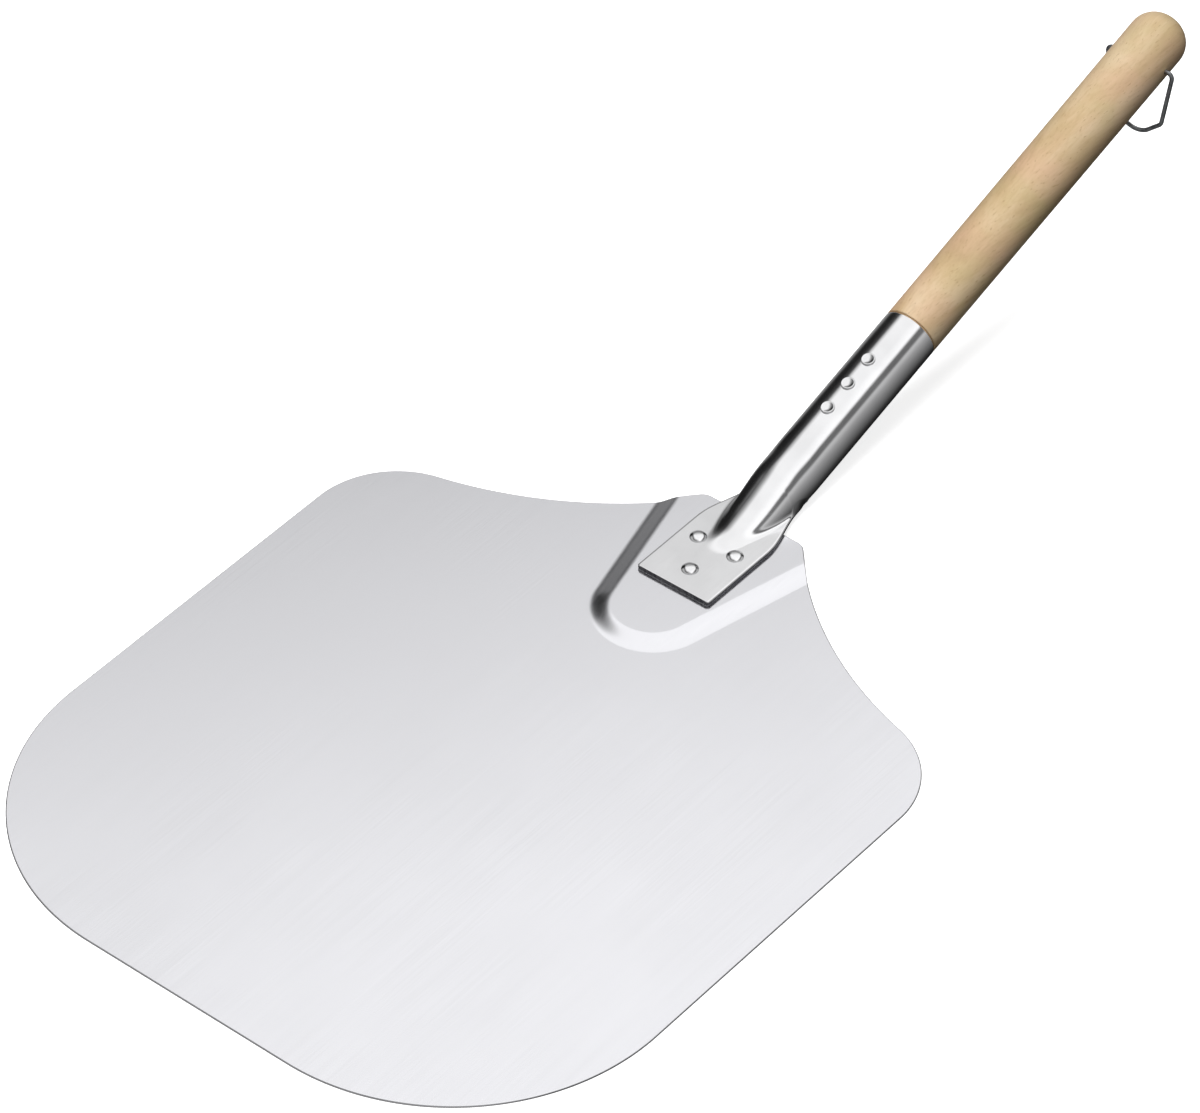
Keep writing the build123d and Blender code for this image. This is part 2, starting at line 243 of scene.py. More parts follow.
def add_studio():
    """Studio seen from the peel: softbox overhead, dimmer screens at the sides, dark low walls."""
    world = bpy.data.worlds.new("studio")
    world.use_nodes = True
    bpy.context.scene.world = world
    g = Graph(world.node_tree)
    way = g.node("ShaderNodeSeparateXYZ")
    g.link(g.node("ShaderNodeTexCoord").outputs["Generated"], way.inputs["Vector"])
    x, y, z = way.outputs
    # Where the direction meets a ceiling one unit up.
    height = g.maths("MAXIMUM", z, CEILING_HORIZON)
    ceiling_x = g.maths("DIVIDE", x, height)
    ceiling_y = g.maths("DIVIDE", y, height)
    # The softbox's near edge runs aslant, and its far corner fades out diagonally.
    aslant = g.maths("ADD", ceiling_y, g.maths("MULTIPLY", ceiling_x, -BOX_SLANT))
    corner = g.maths("ADD", ceiling_y, g.maths("MULTIPLY", ceiling_x, CORNER_SLANT))
    box = g.maths("MULTIPLY", g.profile(aslant, BOX_ACROSS), g.profile(ceiling_x, BOX_ALONG))
    box = g.maths("MULTIPLY", box, g.profile(corner, BOX_CORNER))
    low = g.maths("MULTIPLY", g.profile(z, SCREEN_HEIGHT), g.profile(y, SCREEN_SIDE))
    wall = g.maths("MULTIPLY", g.profile(x, WALL_BEHIND), g.profile(y, WALL_SIDE))
    wall = g.maths("MULTIPLY", wall, g.profile(z, WALL_HEIGHT))
    ground = g.maths("MULTIPLY", g.profile(x, GROUND_FRONT), g.profile(z, GROUND_HEIGHT))
    light = WALL_LIGHT
    for part in (box, low, wall, ground):
        light = g.maths("ADD", part, light)
    rays = g.node("ShaderNodeLightPath").outputs
    # Dull surfaces get most of their light from the key, so that round wood has darker flanks.
    dull = g.maths("MULTIPLY", light, FILL)
    back = g.maths("MULTIPLY", g.profile(x, BACK_SIDE), g.profile(z, BACK_HEIGHT))
    light = g.maths("MAXIMUM", light, back)
    light = g.mix(rays["Is Diffuse Ray"], light, dull)
    background = world.node_tree.nodes["Background"]
    g.link(g.mix(rays["Is Camera Ray"], light, (1, 1, 1)), background.inputs["Color"])


def add_key_light():
    """Large soft key overhead that lights wood and floor; the metal mirrors the studio instead."""
    data = bpy.data.lights.new("key", "AREA")
    data.shape = "RECTANGLE"
    data.size = KEY_SIZE
    data.size_y = KEY_SIZE
    data.energy = KEY_POWER
    light = bpy.data.objects.new("key", data)
    light.location = KEY_PLACE
    light.rotation_euler = (-Vector(KEY_PLACE)).to_track_quat("-Z", "Y").to_euler()
    light.visible_glossy = False
    bpy.context.scene.collection.objects.link(light)



# ---- socket ------------------------------------------------------------------------------------
TUBE_RADIUS = 12.7
TUBE_WALL = 1.1
TUBE_TILT = math.radians(16.5)
TUBE_AXIS_X = 338.5                       # where the tube's centre line crosses the ground
TUBE_MOUTH_X = 460.0
MOUTH_GAP = 0.7                           # open joint between the tube's lip and the wood's shoulder
TUBE_ROUND_X = 387.0
ROUND_RUN_ON = (0, 6, 12)                 # the plain tube's stations that lead the ridge's curve
MOUTH_ROUNDING = 0.35
INNER_DEPTH = 60.0                        # the bore is plain this far in from the mouth
INNER_END_X = 350.0                       # the hollow closes here
PAD_TOP = 3.7
PLATE_HALF_THICKNESS = 1.1
PLATE_MIDDLE = PAD_TOP + PLATE_HALF_THICKNESS
PLATE_TOP = PAD_TOP + 2 * PLATE_HALF_THICKNESS
PLATE_FRONT_X = 298.9
PLATE_CORNER_RADIUS = 1.2
PLATE_FOLD_RADIUS = 0.7                   # the flattened tube's sides are folds, so they are round
PLATE_CUT_RADIUS = 0.15                   # the front edge is a plain cut
FOLD_SHADE_INSET = 0.35                          # the folds get the dark cut colour as painted shade from this far inside their crown
PLATE_SIDE = ((338.0, 18.8), (350.0, 18.8), (356.0, 13.0), (376.0, 10.6))
# Where the round tube is pressed down into the plate: x, half width, centre height, half height.
RIDGE_STATIONS = (
    (316.0, 4.0, 1.4, 0.8),
    (325.0, 4.8, 2.9, 1.2),
    (331.0, 5.8, 3.7, 2.1),
    (337.0, 7.4, 3.8, 3.9),
    (344.0, 9.2, 4.1, 6.4),
    (351.0, 10.6, 4.9, 8.8),
    (359.0, 11.6, 6.6, 10.9),
    (368.0, 12.3, 9.1, 12.5),
    (378.0, 12.6, 11.6, 13.1),
)
RIDGE_FOOT_BLEND = 2.0
UNDERSIDE_BLEND = 0.6
UPRIGHT_UNTIL_X = 380.0                   # sections turn from upright to square to the tube from here
SQUARE_FROM_X = 400.0
LOW_UNTIL_X = 345.0                       # the sections' middle rises to the tube's axis from here
GUIDED_UNTIL_X, EVEN_FROM_X = 360, 384    # points follow the plate's shape, then spread evenly
RING_BOTTOM, RING_FOLD, RING_TOP = 12, 14, 46    # points of half a section: below, fold, above
RIDGE_FROM_X = 325.0
PLATE_STATIONS, TUBE_STATIONS, BORE_STATIONS = 9, 24, 14
PRESS_SPACING = 0.75                      # between sections where the tube is pressed
HOLLOW_SPACING = 2
TOP_SAMPLES = 400                         # samples that measure the length of a section's top
HALVINGS = 40                             # steps that close in on the skin
LIP_ANGLES = range(0, 91, 15)             # degrees round a rounded lip or edge
BORE_CHAMFER = 0.15


def smooth_step(x, low, high):
    t = np.clip((x - low) / (high - low), 0, 1)
    return t * t * (3 - 2 * t)


def smooth_least(a, b, blend):
    """The smaller of two distances, with the corner between them rounded."""
    h = np.clip(0.5 + 0.5 * (b - a) / blend, 0, 1)
    return b + (a - b) * h - blend * h * (1 - h)


def axis_height(x):
    return (x - TUBE_AXIS_X) * math.tan(TUBE_TILT)


def smooth_table(x, knots, values):
    """Smooth curve through a few knots."""
    slopes = np.gradient(values, knots)
    i = np.clip(np.searchsorted(knots, x) - 1, 0, len(knots) - 2)
    step = knots[i + 1] - knots[i]
    t = np.clip((x - knots[i]) / step, 0, 1)
    return ((1 + 2 * t) * (1 - t) ** 2 * values[i] + t * (1 - t) ** 2 * step * slopes[i]
            + t * t * (3 - 2 * t) * values[i + 1] + t * t * (t - 1) * step * slopes[i + 1])


def ridge_shape(x):
    """Half width, centre height and half height of the ridge, which runs on as the tube."""
    tube_half_height = TUBE_RADIUS / math.cos(TUBE_TILT)
    round_x = [TUBE_ROUND_X + run_on for run_on in ROUND_RUN_ON]
    rows = list(RIDGE_STATIONS) + [(r, TUBE_RADIUS, axis_height(r), tube_half_height) for r in round_x]
    knots, widths, middles, heights = np.array(rows).T
    pressed = x < TUBE_ROUND_X
    width = np.where(pressed, smooth_table(x, knots, widths), TUBE_RADIUS)
    middle = np.where(pressed, smooth_table(x, knots, middles), axis_height(x))
    height = np.where(pressed, smooth_table(x, knots, heights), tube_half_height)
    return width, middle, height


def plate_half_width(x):
    """Half width of the flattened end, with its rounded front corners and hollow shoulders."""
    t = np.linspace(0, 1, 60)[:, None]
    a, b, c, d = (np.array(p) for p in PLATE_SIDE)
    curve = (1 - t) ** 3 * a + 3 * t * (1 - t) ** 2 * b + 3 * t * t * (1 - t) * c + t ** 3 * d
    width = np.interp(x, curve[:, 0], curve[:, 1])
    width = np.maximum(width - np.maximum(x - PLATE_SIDE[-1][0], 0), 0)
    corner = np.clip(PLATE_FRONT_X + PLATE_CORNER_RADIUS - x, 0, PLATE_CORNER_RADIUS)
    return width - PLATE_CORNER_RADIUS + np.sqrt(PLATE_CORNER_RADIUS ** 2 - corner ** 2)


def socket_distance(x, y, z):
    """Distance to the socket's outer skin, negative inside: plate and ridge flow into each other."""
    cut = np.clip(PLATE_FRONT_X + PLATE_CUT_RADIUS - x, 0, PLATE_CUT_RADIUS)
    inset = PLATE_CUT_RADIUS - np.sqrt(PLATE_CUT_RADIUS ** 2 - cut ** 2)
    fold = PLATE_FOLD_RADIUS - inset
    across = np.abs(y) - (plate_half_width(x) - inset - fold)
    up = np.abs(z - PLATE_MIDDLE) - (PLATE_HALF_THICKNESS - inset - fold)
    beyond = np.hypot(np.maximum(across, 0), np.maximum(up, 0))
    plate = beyond + np.minimum(np.maximum(across, up), 0) - fold
    width, middle, height = ridge_shape(x)
    rise = z - middle
    k0 = np.hypot(y / width, rise / height)
    k1 = np.hypot(y / width ** 2, rise / height ** 2)
    ridge = k0 * (k0 - 1) / np.maximum(k1, 1e-6)
    both = smooth_least(plate, ridge, RIDGE_FOOT_BLEND)
    return -smooth_least(-both, z - PAD_TOP, UNDERSIDE_BLEND)


def section_angles(x, middle_z):
    """Directions from a section's middle to its points, denser where the section bends."""
    half = float(plate_half_width(np.array(x)))
    width, middle, height = (float(v) for v in ridge_shape(np.array(x)))
    fold = PLATE_FOLD_RADIUS
    below = [(half - fold) * i / RING_BOTTOM for i in range(RING_BOTTOM)]
    points = [(y, PAD_TOP) for y in below]
    for i in range(RING_FOLD):
        turn = math.pi * (i / RING_FOLD - 0.5)
        level = PLATE_MIDDLE + PLATE_HALF_THICKNESS * math.sin(turn)
        points.append((half - fold + fold * math.cos(turn), level))
    over = np.linspace(half - fold, 0, TOP_SAMPLES)
    bulge = np.clip(1 - (over / width) ** 2, 0, None)
    top = np.maximum(PLATE_TOP, np.where(bulge > 0, middle + height * np.sqrt(bulge), 0))
    length = np.concatenate(([0], np.cumsum(np.hypot(np.diff(over), np.diff(top)))))
    places = np.linspace(0, length[-1], RING_TOP + 1)
    points += list(zip(np.interp(places, length, over), np.interp(places, length, top)))
    guide = np.array([math.atan2(z - middle_z, y) for y, z in points])
    guide[0] = -math.pi / 2
    guide[-1] = math.pi / 2
    even = np.linspace(-math.pi / 2, math.pi / 2, len(guide))
    return guide + (even - guide) * smooth_step(x, GUIDED_UNTIL_X, EVEN_FROM_X)


def section(x, level):
    """Closed ring of points where the distance equals level, in the section through x."""
    blend = float(smooth_step(x, LOW_UNTIL_X, SQUARE_FROM_X))
    middle_z = PLATE_MIDDLE + (axis_height(x) - PLATE_MIDDLE) * blend
    lean = TUBE_TILT * float(smooth_step(x, UPRIGHT_UNTIL_X, SQUARE_FROM_X))
    half = section_angles(x, middle_z)
    angles = np.concatenate((half, math.pi - half[-2:0:-1]))
    step_x = -math.sin(lean) * np.sin(angles)
    step_y = np.cos(angles)
    step_z = math.cos(lean) * np.sin(angles)
    near = np.zeros(len(angles))
    far = np.full(len(angles), 3 * TUBE_RADIUS)
    for _ in range(HALVINGS):
        reach = (near + far) / 2
        outside = socket_distance(x + reach * step_x, reach * step_y, middle_z + reach * step_z) > level
        far = np.where(outside, reach, far)
        near = np.where(outside, near, reach)
    return np.stack((x + near * step_x, near * step_y, middle_z + near * step_z), axis=1)


def add_mesh(name, points, faces, materials):
    """A smooth piece of the peel from points in millimetres, counted from the blade's front edge."""
    mesh = bpy.data.meshes.new(name)
    mesh.from_pydata([((x + FRONT_X) * MM, y * MM, z * MM) for x, y, z in points], [], faces)
    for material in materials:
        mesh.materials.append(material)
    for polygon in mesh.polygons:
        polygon.use_smooth = True
    piece = bpy.data.objects.new(name, mesh)
    bpy.context.scene.collection.objects.link(piece)
    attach(piece, "peel")
    return piece


def skin(rings):
    """Quads between closed rings of equal length, and a fan that closes each end."""
    count = len(rings[0])
    points = [p for ring in rings for p in ring]
    faces = []
    for r in range(len(rings) - 1):
        for i in range(count):
            j = (i + 1) % count
            faces.append((r * count + i, r * count + j, (r + 1) * count + j, (r + 1) * count + i))
    for ring, turn in ((0, 1), (len(rings) - 1, -1)):
        hub = len(points)
        points.append(np.mean(rings[ring], axis=0))
        for i in range(count):
            faces.append((ring * count + (i + 1) % count, ring * count + i, hub)[::turn])
    return points, faces


def socket_stations():
    """Places of the sections along the socket, close together where the shape changes."""
    cut = [PLATE_FRONT_X + PLATE_CUT_RADIUS * (1 - math.cos(math.radians(a))) for a in LIP_ANGLES]
    corner = [PLATE_FRONT_X + 0.3 + 0.15 * i for i in range(7)]
    plate = list(np.linspace(PLATE_FRONT_X + PLATE_CORNER_RADIUS + 0.2, RIDGE_FROM_X - 1, PLATE_STATIONS))
    press = list(np.arange(RIDGE_FROM_X, SQUARE_FROM_X, PRESS_SPACING))
    tube = list(np.linspace(SQUARE_FROM_X, TUBE_MOUTH_X - MOUTH_GAP - 1.0, TUBE_STATIONS))
    return cut + corner + plate + press + tube


def add_socket(polished, cut_edge_and_shade):
    """Tube pressed flat at one end: two layers at the plate, a blended ridge, an open round mouth."""
    outer = [section(x, 0.0) for x in socket_stations()]
    along = np.array((math.cos(TUBE_TILT), 0, math.sin(TUBE_TILT)))
    mouth = np.array((TUBE_MOUTH_X, 0, axis_height(TUBE_MOUTH_X))) - along * MOUTH_GAP
    base = outer[-1]
    outward = base - (mouth + along * np.dot(base[0] - mouth, along))
    outward /= np.linalg.norm(outward, axis=1)[:, None]

    def square_ring(back, radius):
        return mouth - along * back + outward * radius

    inner_radius = TUBE_RADIUS - TUBE_WALL
    lip = [
        square_ring(MOUTH_ROUNDING * (1 - math.sin(a)), TUBE_RADIUS - MOUTH_ROUNDING * (1 - math.cos(a)))
        for a in np.radians(LIP_ANGLES)
    ]
    chamfer = [square_ring(0, inner_radius + BORE_CHAMFER), square_ring(BORE_CHAMFER, inner_radius)]
    bore = [square_ring(back, inner_radius) for back in np.linspace(2, INNER_DEPTH, BORE_STATIONS)]
    hollow_x = np.arange(SQUARE_FROM_X - 2 * HOLLOW_SPACING, INNER_END_X, -HOLLOW_SPACING)
    hollow = [section(x, -TUBE_WALL) for x in hollow_x]
    rings = outer + lip + chamfer + bore + hollow
    points, faces = skin(rings)
    socket = add_mesh("pressed_socket", points, faces, [polished, cut_edge_and_shade])
    count = len(rings[0])
    # The front cut face gets the dark cut material, partly painted shade.
    for polygon in socket.data.polygons[-2 * count:-count]:
        polygon.material_index = 1
        polygon.use_smooth = False
    # The folds along the plate's sides get the dull, dark cut material too: painted shade along the plate's
    # sides.
    for polygon in socket.data.polygons[:len(outer) * count]:
        x, y, z = polygon.center / MM
        x -= FRONT_X
        beside = abs(y) > float(plate_half_width(np.array(x))) - FOLD_SHADE_INSET
        if x < PLATE_SIDE[-1][0] and beside and z < PLATE_TOP - FOLD_SHADE_INSET:
            polygon.material_index = 1
    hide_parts("handle_socket")


# ---- blade -------------------------------------------------------------------------------------
BLADE_WIDTH = 304.8
BLADE_LENGTH = 353.6
FRONT_WIDTH = 302.0
FRONT_CORNER_RADIUS = 100.0
REAR_CORNER_RADIUS = 41.4
REAR_CORNER_X = 252.6
SHOULDER_RADIUS = 185.3
NECK_HALF_WIDTH = 25.6
NECK_CORNER_RADIUS = 8.0
NECK_CURVE_END = 1.05                     # the hollow curve stops this many radii before the end
NECK_TURN = 0.75                          # the corner's arc, as a share of its radius
POINT_SPACING = 1.5
SHEET = 1.2
RIM_RADIUS = 0.4
RIM_UPPER_ANGLES = (20, 45, 70, 90)       # degrees round the rim, from the upper face
RIM_LOWER_ANGLES = (90, 110, 135, 160)
STEP_HEIGHT = 2.5
STEP_FRONT_X = 264.0
STEP_ARC_RADIUS = 22.0
STEP_LEG_ANGLE = math.radians(14.0)
STEP_REACH = 4.5                          # the step's smooth slope runs this far to each side
STEP_MARGIN = 0.6                         # the mesh follows the step a little beyond its slope
STEP_LINES = 21
STEP_POINT_SPACING = 1.2
STEP_LEG_LENGTH = 100
STEP_LEG_POINTS = 41
SNAP = 0.05                               # points closer than this are joined


def rounded_path(corners, radii):
    """Path through corners, each rounded by an arc of its radius."""
    path = []
    for i, radius in enumerate(radii, 1):
        corner = corners[i]
        back, ahead = corners[i - 1] - corner, corners[i + 1] - corner
        back, ahead = back / np.linalg.norm(back), ahead / np.linalg.norm(ahead)
        half = math.acos(float(np.dot(back, ahead))) / 2
        middle = back + ahead
        centre = corner + middle / np.linalg.norm(middle) * radius / math.sin(half)
        start = corner + back * radius / math.tan(half) - centre
        turn = math.pi - 2 * half
        side = math.copysign(1, back[1] * ahead[0] - back[0] * ahead[1])
        count = max(4, int(radius * turn / POINT_SPACING))
        for angle in np.linspace(0, turn, count + 1) * side:
            c, s = math.cos(angle), math.sin(angle)
            path.append(centre + (c * start[0] - s * start[1], s * start[0] + c * start[1]))
    return path


def arc_points(centre, radius, start, end, spacing=POINT_SPACING):
    count = max(3, int(abs(end - start) * radius / spacing))
    angles = np.linspace(start, end, count + 1)
    return [centre + radius * np.array((math.cos(a), math.sin(a))) for a in angles]


def blade_outline():
    """Outline of the blade, counter-clockwise, from the front corner on the -Y side."""
    half = BLADE_WIDTH / 2
    lean = math.atan2(half - FRONT_WIDTH / 2, REAR_CORNER_X)
    side_end = np.array((REAR_CORNER_X, half))
    corner = side_end + REAR_CORNER_RADIUS * np.array((math.sin(lean), -math.cos(lean)))
    neck = np.array((BLADE_LENGTH, NECK_HALF_WIDTH))
    reach = SHOULDER_RADIUS + REAR_CORNER_RADIUS
    base = neck - corner
    distance = np.linalg.norm(base)
    along = (reach ** 2 - SHOULDER_RADIUS ** 2 + distance ** 2) / (2 * distance)
    across = math.sqrt(reach ** 2 - along ** 2)
    unit = base / distance
    hollow = corner + unit * along + np.array((-unit[1], unit[0])) * across
    touch = math.atan2(*(hollow - corner)[::-1])
    to_neck = math.atan2(*(neck - hollow)[::-1])
    rear = arc_points(corner, REAR_CORNER_RADIUS, lean + math.pi / 2, touch)
    shoulder = arc_points(hollow, SHOULDER_RADIUS, touch + math.pi, to_neck % (2 * math.pi))
    # The neck's corner is rounded between the hollow curve and the straight end.
    keep = [p for p in shoulder if p[0] < BLADE_LENGTH - NECK_CURVE_END * NECK_CORNER_RADIUS]
    end = np.array((BLADE_LENGTH, 0.0))
    tip = rounded_path([keep[-1], neck, end], [NECK_CORNER_RADIUS * NECK_TURN])
    front_corner = np.array((0.0, FRONT_WIDTH / 2))
    front = rounded_path([np.zeros(2), front_corner, side_end], [FRONT_CORNER_RADIUS])
    upper = front + rear + keep + tip
    lower = [p * (1, -1) for p in upper]
    return np.array(lower + upper[::-1])


def step_distance(points):
    """Distance from the step's middle line, positive outside the raised pad."""
    x, y = points[:, 0] - STEP_FRONT_X - STEP_ARC_RADIUS, np.abs(points[:, 1])
    c, s = math.cos(STEP_LEG_ANGLE), math.sin(STEP_LEG_ANGLE)
    in_arc = x * c + y * s < 0
    return np.where(in_arc, np.hypot(x, y), y * c - x * s) - STEP_ARC_RADIUS


def pad_height(points):
    """Height of the pressed pad: a smooth slope across the step."""
    return STEP_HEIGHT * (1 - smooth_step(step_distance(points), -STEP_REACH, STEP_REACH))


def step_line(offset):
    """Line along the step at a distance from its middle, open beyond the blade's end."""
    radius = STEP_ARC_RADIUS + offset
    centre = np.array((STEP_FRONT_X + STEP_ARC_RADIUS, 0.0))
    turn = math.pi / 2 + STEP_LEG_ANGLE
    arc = arc_points(centre, radius, turn, 2 * math.pi - turn, STEP_POINT_SPACING)
    out = np.array((math.cos(STEP_LEG_ANGLE), math.sin(STEP_LEG_ANGLE)))
    leg = [arc[0] + out * d for d in np.linspace(STEP_LEG_LENGTH, 0, STEP_LEG_POINTS)[:-1]]
    return np.array(leg + arc + [p * (1, -1) for p in leg[::-1]])


def outward_normals(ring):
    """Outward directions at the points of a closed, counter-clockwise ring."""
    ahead = np.roll(ring, -2, axis=0) - np.roll(ring, 2, axis=0)
    return np.stack((ahead[:, 1], -ahead[:, 0]), axis=1) / np.linalg.norm(ahead, axis=1)[:, None]


def add_blade(material):
    """One sheet with a softly pressed step; its edge is rounded all round."""
    outline = blade_outline()
    outline = outline - outward_normals(outline) * RIM_RADIUS
    reach = STEP_REACH + STEP_MARGIN
    points = [Vector(p) for p in outline]
    edges = []
    for offset in np.linspace(-reach, reach, STEP_LINES):
        first = len(points)
        points += [Vector(p) for p in step_line(offset)]
        edges += [(i, i + 1) for i in range(first, len(points) - 1)]
    flat, _, triangles, *_ = delaunay_2d_cdt(points, edges, [list(range(len(outline)))], 1, SNAP)
    flat = np.array([tuple(p) for p in flat])
    # The rim is the closed chain of sides that only one triangle has.
    sides = {}
    for face in triangles:
        for a, b in zip(face, (*face[1:], face[0])):
            sides[a] = sides.get(a, []) + [b]
    following = {a: b for a, ends in sides.items() for b in ends if a not in sides.get(b, [])}
    rim = [next(iter(following))]
    while following[rim[-1]] != rim[0]:
        rim.append(following[rim[-1]])
    outward = outward_normals(flat[rim])
    height = pad_height(flat)
    points = [(x, y, SHEET + h) for (x, y), h in zip(flat, height)]
    points += [(x, y, h) for (x, y), h in zip(flat, height)]
    faces = [tuple(face) for face in triangles]
    faces += [tuple(len(flat) + i for i in face[::-1]) for face in triangles]
    bends = [(a, RIM_RADIUS * (1 - math.cos(a))) for a in np.radians(RIM_UPPER_ANGLES)]
    bends += [(a, SHEET - RIM_RADIUS * (1 + math.cos(a))) for a in np.radians(RIM_LOWER_ANGLES)]
    rows = [rim]
    for a, drop in bends:
        rows.append(list(range(len(points), len(points) + len(rim))))
        for (x, y), (nx, ny), h in zip(flat[rim], outward, height[rim]):
            out = RIM_RADIUS * math.sin(a)
            points.append((x + nx * out, y + ny * out, SHEET + h - drop))
    rows.append([len(flat) + i for i in rim])
    for upper, lower in zip(rows, rows[1:]):
        for i in range(len(rim)):
            j = (i + 1) % len(rim)
            faces.append((upper[j], upper[i], lower[i], lower[j]))
    blade = add_mesh("pressed_blade", points, faces, [material])
    # The flat faces keep their own normals beside the rounded rim.
    flat_rim = set(rows[0]) | set(rows[-1])
    for edge in blade.data.edges:
        edge.use_edge_sharp = set(edge.vertices) <= flat_rim
    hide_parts("blade")


# ---- rivets and nails --------------------------------------------------------------------------
RIVET_PLACES = ((310.4, 0.0), (328.1, 9.7), (328.1, -9.7))
# Heads and tails from foot to crown: steep sides, an almost flat top.
RIVET_HEAD = (
    (3.7, 0.0), (3.64, 0.22), (3.3, 0.62), (2.8, 1.04), (2.35, 1.31), (1.9, 1.42), (1.2, 1.48), (0.05, 1.5),
)
RIVET_TAIL = ((3.2, 0.0), (3.14, 0.2), (2.8, 0.6), (2.2, 0.95), (1.4, 1.14), (0.05, 1.2))
RIVET_SHANK_RADIUS = 2.0
NAIL_FIRST = 27.4                         # from the socket's mouth to the first nail
NAIL_PITCH = 14.4
NAIL_COUNT = 3
NAIL_HEAD_RADIUS = 3.1
NAIL_RIM_HEIGHT = 0.75
NAIL_RIM_WIDTH = 0.5
NAIL_RIM_RADIUS = 0.35
NAIL_SEAT = ((0.2, -0.6), (0.0, -0.3))    # the head's foot in the wall: inset from its rim, height
NAIL_SIDE_DROP = 0.4                      # the head's straight side ends this far below its rim
NAIL_DISH_POINTS = 12
NAIL_DISH_DEPTH = 0.5                     # the head is dished
NAIL_SHANK_RADIUS = 1.1
NAIL_LENGTH = 12.0
NAIL_POINT = 2.5
NAIL_TIP_RADIUS = 0.06
NAIL_NECK_DEPTH = 1.2
HUB_RADIUS = 0.05
AROUND = 48                               # points round a turned piece


def turned(name, profile, origin, axis, material, node):
    """Turned piece from pairs of radius and height along its axis."""
    axis = Vector(axis)
    side = Vector((0, 1, 0))
    other = axis.cross(side)
    rings = []
    for radius, height in profile:
        turn = [2 * math.pi * i / AROUND for i in range(AROUND)]
        rings.append([
            Vector(origin) + axis * height + (side * math.cos(a) + other * math.sin(a)) * radius for a in turn
        ])
    points, faces = skin(rings)
    piece = add_mesh(name, points, faces, [material])
    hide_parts(node)


def add_rivets(material):
    for number, (x, y) in enumerate(RIVET_PLACES, 1):
        tail = [(r, STEP_HEIGHT - h) for r, h in RIVET_TAIL[::-1]]
        head = [(r, PLATE_TOP + h) for r, h in RIVET_HEAD]
        shank = [(RIVET_SHANK_RADIUS, STEP_HEIGHT), (RIVET_SHANK_RADIUS, PLATE_TOP)]
        node = f"blade_rivet_{number}"
        place, upright = (x, y, 0), (0, 0, 1)
        turned(f"rivet_{number}", tail + shank + head, place, upright, material, node)


def add_nails(material):
    """Nails with dished heads along the tube's top line."""
    along = Vector((math.cos(TUBE_TILT), 0, math.sin(TUBE_TILT)))
    outward = Vector((-math.sin(TUBE_TILT), 0, math.cos(TUBE_TILT)))
    mouth = Vector((TUBE_MOUTH_X, 0, axis_height(TUBE_MOUTH_X)))
    rim, radius = NAIL_RIM_HEIGHT, NAIL_HEAD_RADIUS
    shank = [
        (NAIL_TIP_RADIUS, -NAIL_LENGTH),
        (NAIL_SHANK_RADIUS, -NAIL_LENGTH + NAIL_POINT),
        (NAIL_SHANK_RADIUS, -NAIL_NECK_DEPTH),
    ]
    edge = [(radius - inset, height) for inset, height in NAIL_SEAT] + [(radius, rim - NAIL_SIDE_DROP)]
    for a in np.radians((30, 60, 90)):
        edge.append((
            radius - NAIL_RIM_RADIUS + NAIL_RIM_RADIUS * math.cos(a),
            rim - NAIL_RIM_RADIUS + NAIL_RIM_RADIUS * math.sin(a),
        ))
    dish_radius = radius - NAIL_RIM_WIDTH
    dish = [
        (r, rim - NAIL_DISH_DEPTH * (1 - (r / dish_radius) ** 2))
        for r in np.linspace(dish_radius, HUB_RADIUS, NAIL_DISH_POINTS)
    ]
    for i in range(NAIL_COUNT):
        place = mouth - along * (NAIL_FIRST + NAIL_PITCH * i) + outward * TUBE_RADIUS
        node = f"socket_nail_{i + 1}"
        turned(f"nail_{i + 1}", shank + edge + dish, place, outward, material, node)


# ---- materials ---------------------------------------------------------------------------------
def rolled_aluminium():
    """Satin sheet: fine rolling lines along the blade, faint cloudy patches and fine specks."""
    g = Material("blade_satin_aluminium", metallic=1.0)
    lines = g.noise(g.position((14, 900, 900)), 1.0, detail=3, roughness=0.6)
    cloud = g.noise(g.position(), 7.0, detail=5, roughness=0.55)
    speck = g.noise(g.position(), 1400.0, detail=2)
    tone = g.maths("ADD", g.maths("MULTIPLY", lines, 0.5), g.maths("MULTIPLY", cloud, 0.5))
    g.colour(g.ramp(tone, [(0.30, (0.82, 0.82, 0.85)), (0.70, (0.88, 0.88, 0.91))]))
    g.rough(g.maths("ADD", g.spread(cloud, 0.16, 0.22), g.spread(lines, -0.02, 0.04)))
    height = g.maths("ADD", g.maths("MULTIPLY", lines, 0.6), g.maths("MULTIPLY", speck, 0.4))
    g.bump(height, 0.25, 0.00004)
    return g.material


def polished_steel(name, roughness, tint):
    """Bright steel with drawing lines along the tube and faint handling marks."""
    g = Material(name, metallic=1.0)
    lines = g.noise(g.position((40, 1300, 1300), (0, TUBE_TILT, 0)), 1.0, detail=3)
    cloud = g.noise(g.position(), 45.0, detail=4)
    dark = tuple(c * 0.9 for c in tint)
    g.colour(g.ramp(cloud, [(0.35, dark), (0.65, tint)]))
    g.rough(g.maths("ADD", g.spread(cloud, roughness, roughness + 0.06), g.spread(lines, 0, 0.03)))
    g.bump(lines, 0.15, 0.00002)
    return g.material


def sheared_steel_painted_shade():
    """Cut end of the pressed tube: dull, dark and torn across its thickness; the near-black colour is partly
    painted shade of the edge's shadow line.
    """
    g = Material("socket_cut_edge_painted_shade", metallic=1.0)
    torn = g.noise(g.position((900, 900, 160)), 1.0, detail=3)
    # Near-black colour: partly the dull cut, partly painted shade along the edge.
    g.colour(g.ramp(torn, [(0.35, (0.07, 0.07, 0.08)), (0.65, (0.20, 0.20, 0.21))]))
    g.rough(g.spread(torn, 0.45, 0.65))
    g.bump(torn, 0.4, 0.00005)
    return g.material


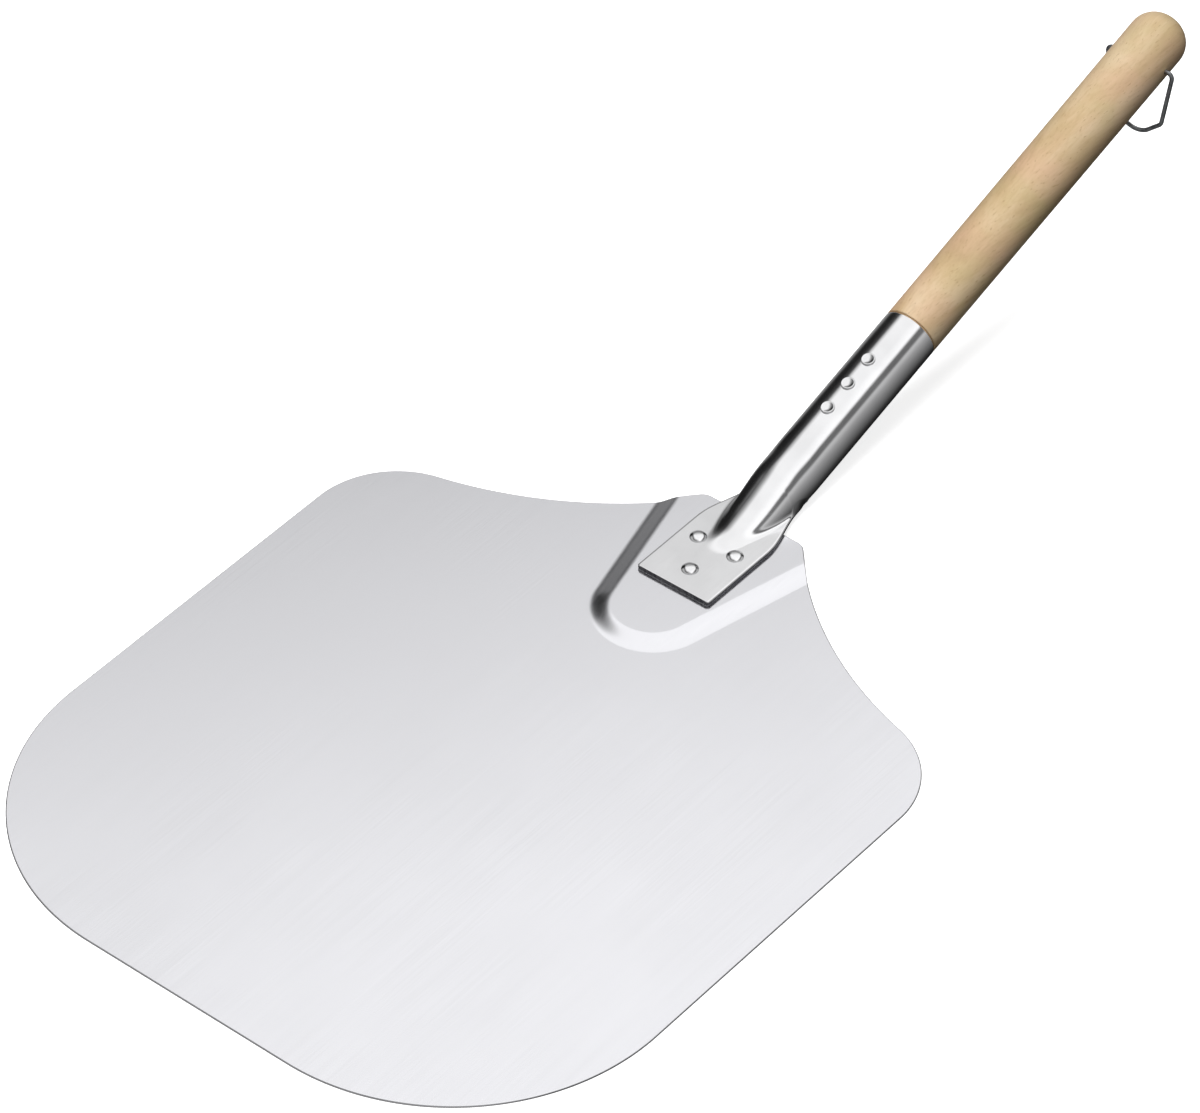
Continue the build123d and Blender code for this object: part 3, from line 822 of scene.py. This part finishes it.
def beech_wood():
    """Pale beech: soft long grain, short fleck marks, slightly darker old oil in the pores."""
    g = Material("handle_beech")
    along = g.position((3.0, 60, 60), (0, TUBE_TILT, 0))
    grain = g.noise(along, 1.0, detail=6, roughness=0.6, distortion=0.6)
    fine = g.noise(g.position((30, 900, 900), (0, TUBE_TILT, 0)), 1.0, detail=3)
    flecks = g.noise(g.position((180, 1500, 1500), (0, TUBE_TILT, 0)), 1.0, detail=1)
    blotch = g.noise(g.position(), 32.0, detail=3)
    base = g.ramp(grain, [
        (0.25, (0.42, 0.29, 0.15)),
        (0.45, (0.59, 0.43, 0.24)),
        (0.60, (0.70, 0.54, 0.34)),
        (0.80, (0.77, 0.63, 0.44)),
    ])
    patches = g.noise(g.position(), 55.0, detail=2)
    olive = g.mix(g.spread(patches, 0.0, 0.45, 0.5, 0.7), base, (0.55, 0.44, 0.22))
    warm = g.mix(g.spread(blotch, 0.0, 0.55, 0.42, 0.66), olive, (0.71, 0.46, 0.31))
    streaked = g.mix(g.spread(fine, 0.0, 0.30, 0.5, 0.8), warm, (0.40, 0.26, 0.13))
    flecked = g.mix(g.spread(flecks, 0.0, 0.5, 0.66, 0.74), streaked, (0.36, 0.21, 0.10))
    g.colour(flecked)
    g.rough(g.spread(fine, 0.42, 0.58))
    height = g.maths("ADD", g.maths("MULTIPLY", fine, 0.7), g.maths("MULTIPLY", flecks, -0.5))
    g.bump(height, 0.35, 0.00015)
    g.shader.inputs["Coat Weight"].default_value = 0.12
    g.shader.inputs["Coat Roughness"].default_value = 0.35
    return g.material


def steel_wire():
    """Drawn wire: dull grey with fine lengthwise marks."""
    g = Material("loop_drawn_wire", metallic=1.0)
    marks = g.noise(g.position(), 600.0, detail=3)
    g.colour(g.ramp(marks, [(0.35, (0.20, 0.21, 0.22)), (0.65, (0.36, 0.37, 0.38))]))
    g.rough(g.spread(marks, 0.28, 0.42))
    g.bump(marks, 0.2, 0.00003)
    return g.material


# ---- pieces ------------------------------------------------------------------------------------
def dress(node, material):
    """Give a CAD node its material."""
    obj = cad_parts[node]
    obj.data.materials.clear()
    obj.data.materials.append(material)


def dress_all():
    add_blade(rolled_aluminium())
    add_socket(polished_steel("socket_polished_steel", 0.08, (0.86, 0.86, 0.87)), sheared_steel_painted_shade())
    add_rivets(polished_steel("rivet_bright_aluminium", 0.12, (0.90, 0.90, 0.91)))
    add_nails(polished_steel("nail_bright_steel", 0.12, (0.86, 0.86, 0.87)))
    dress("handle", beech_wood())
    dress("hanging_loop", steel_wire())


add_camera()
add_floor()
add_studio()
add_key_light()
dress_all()
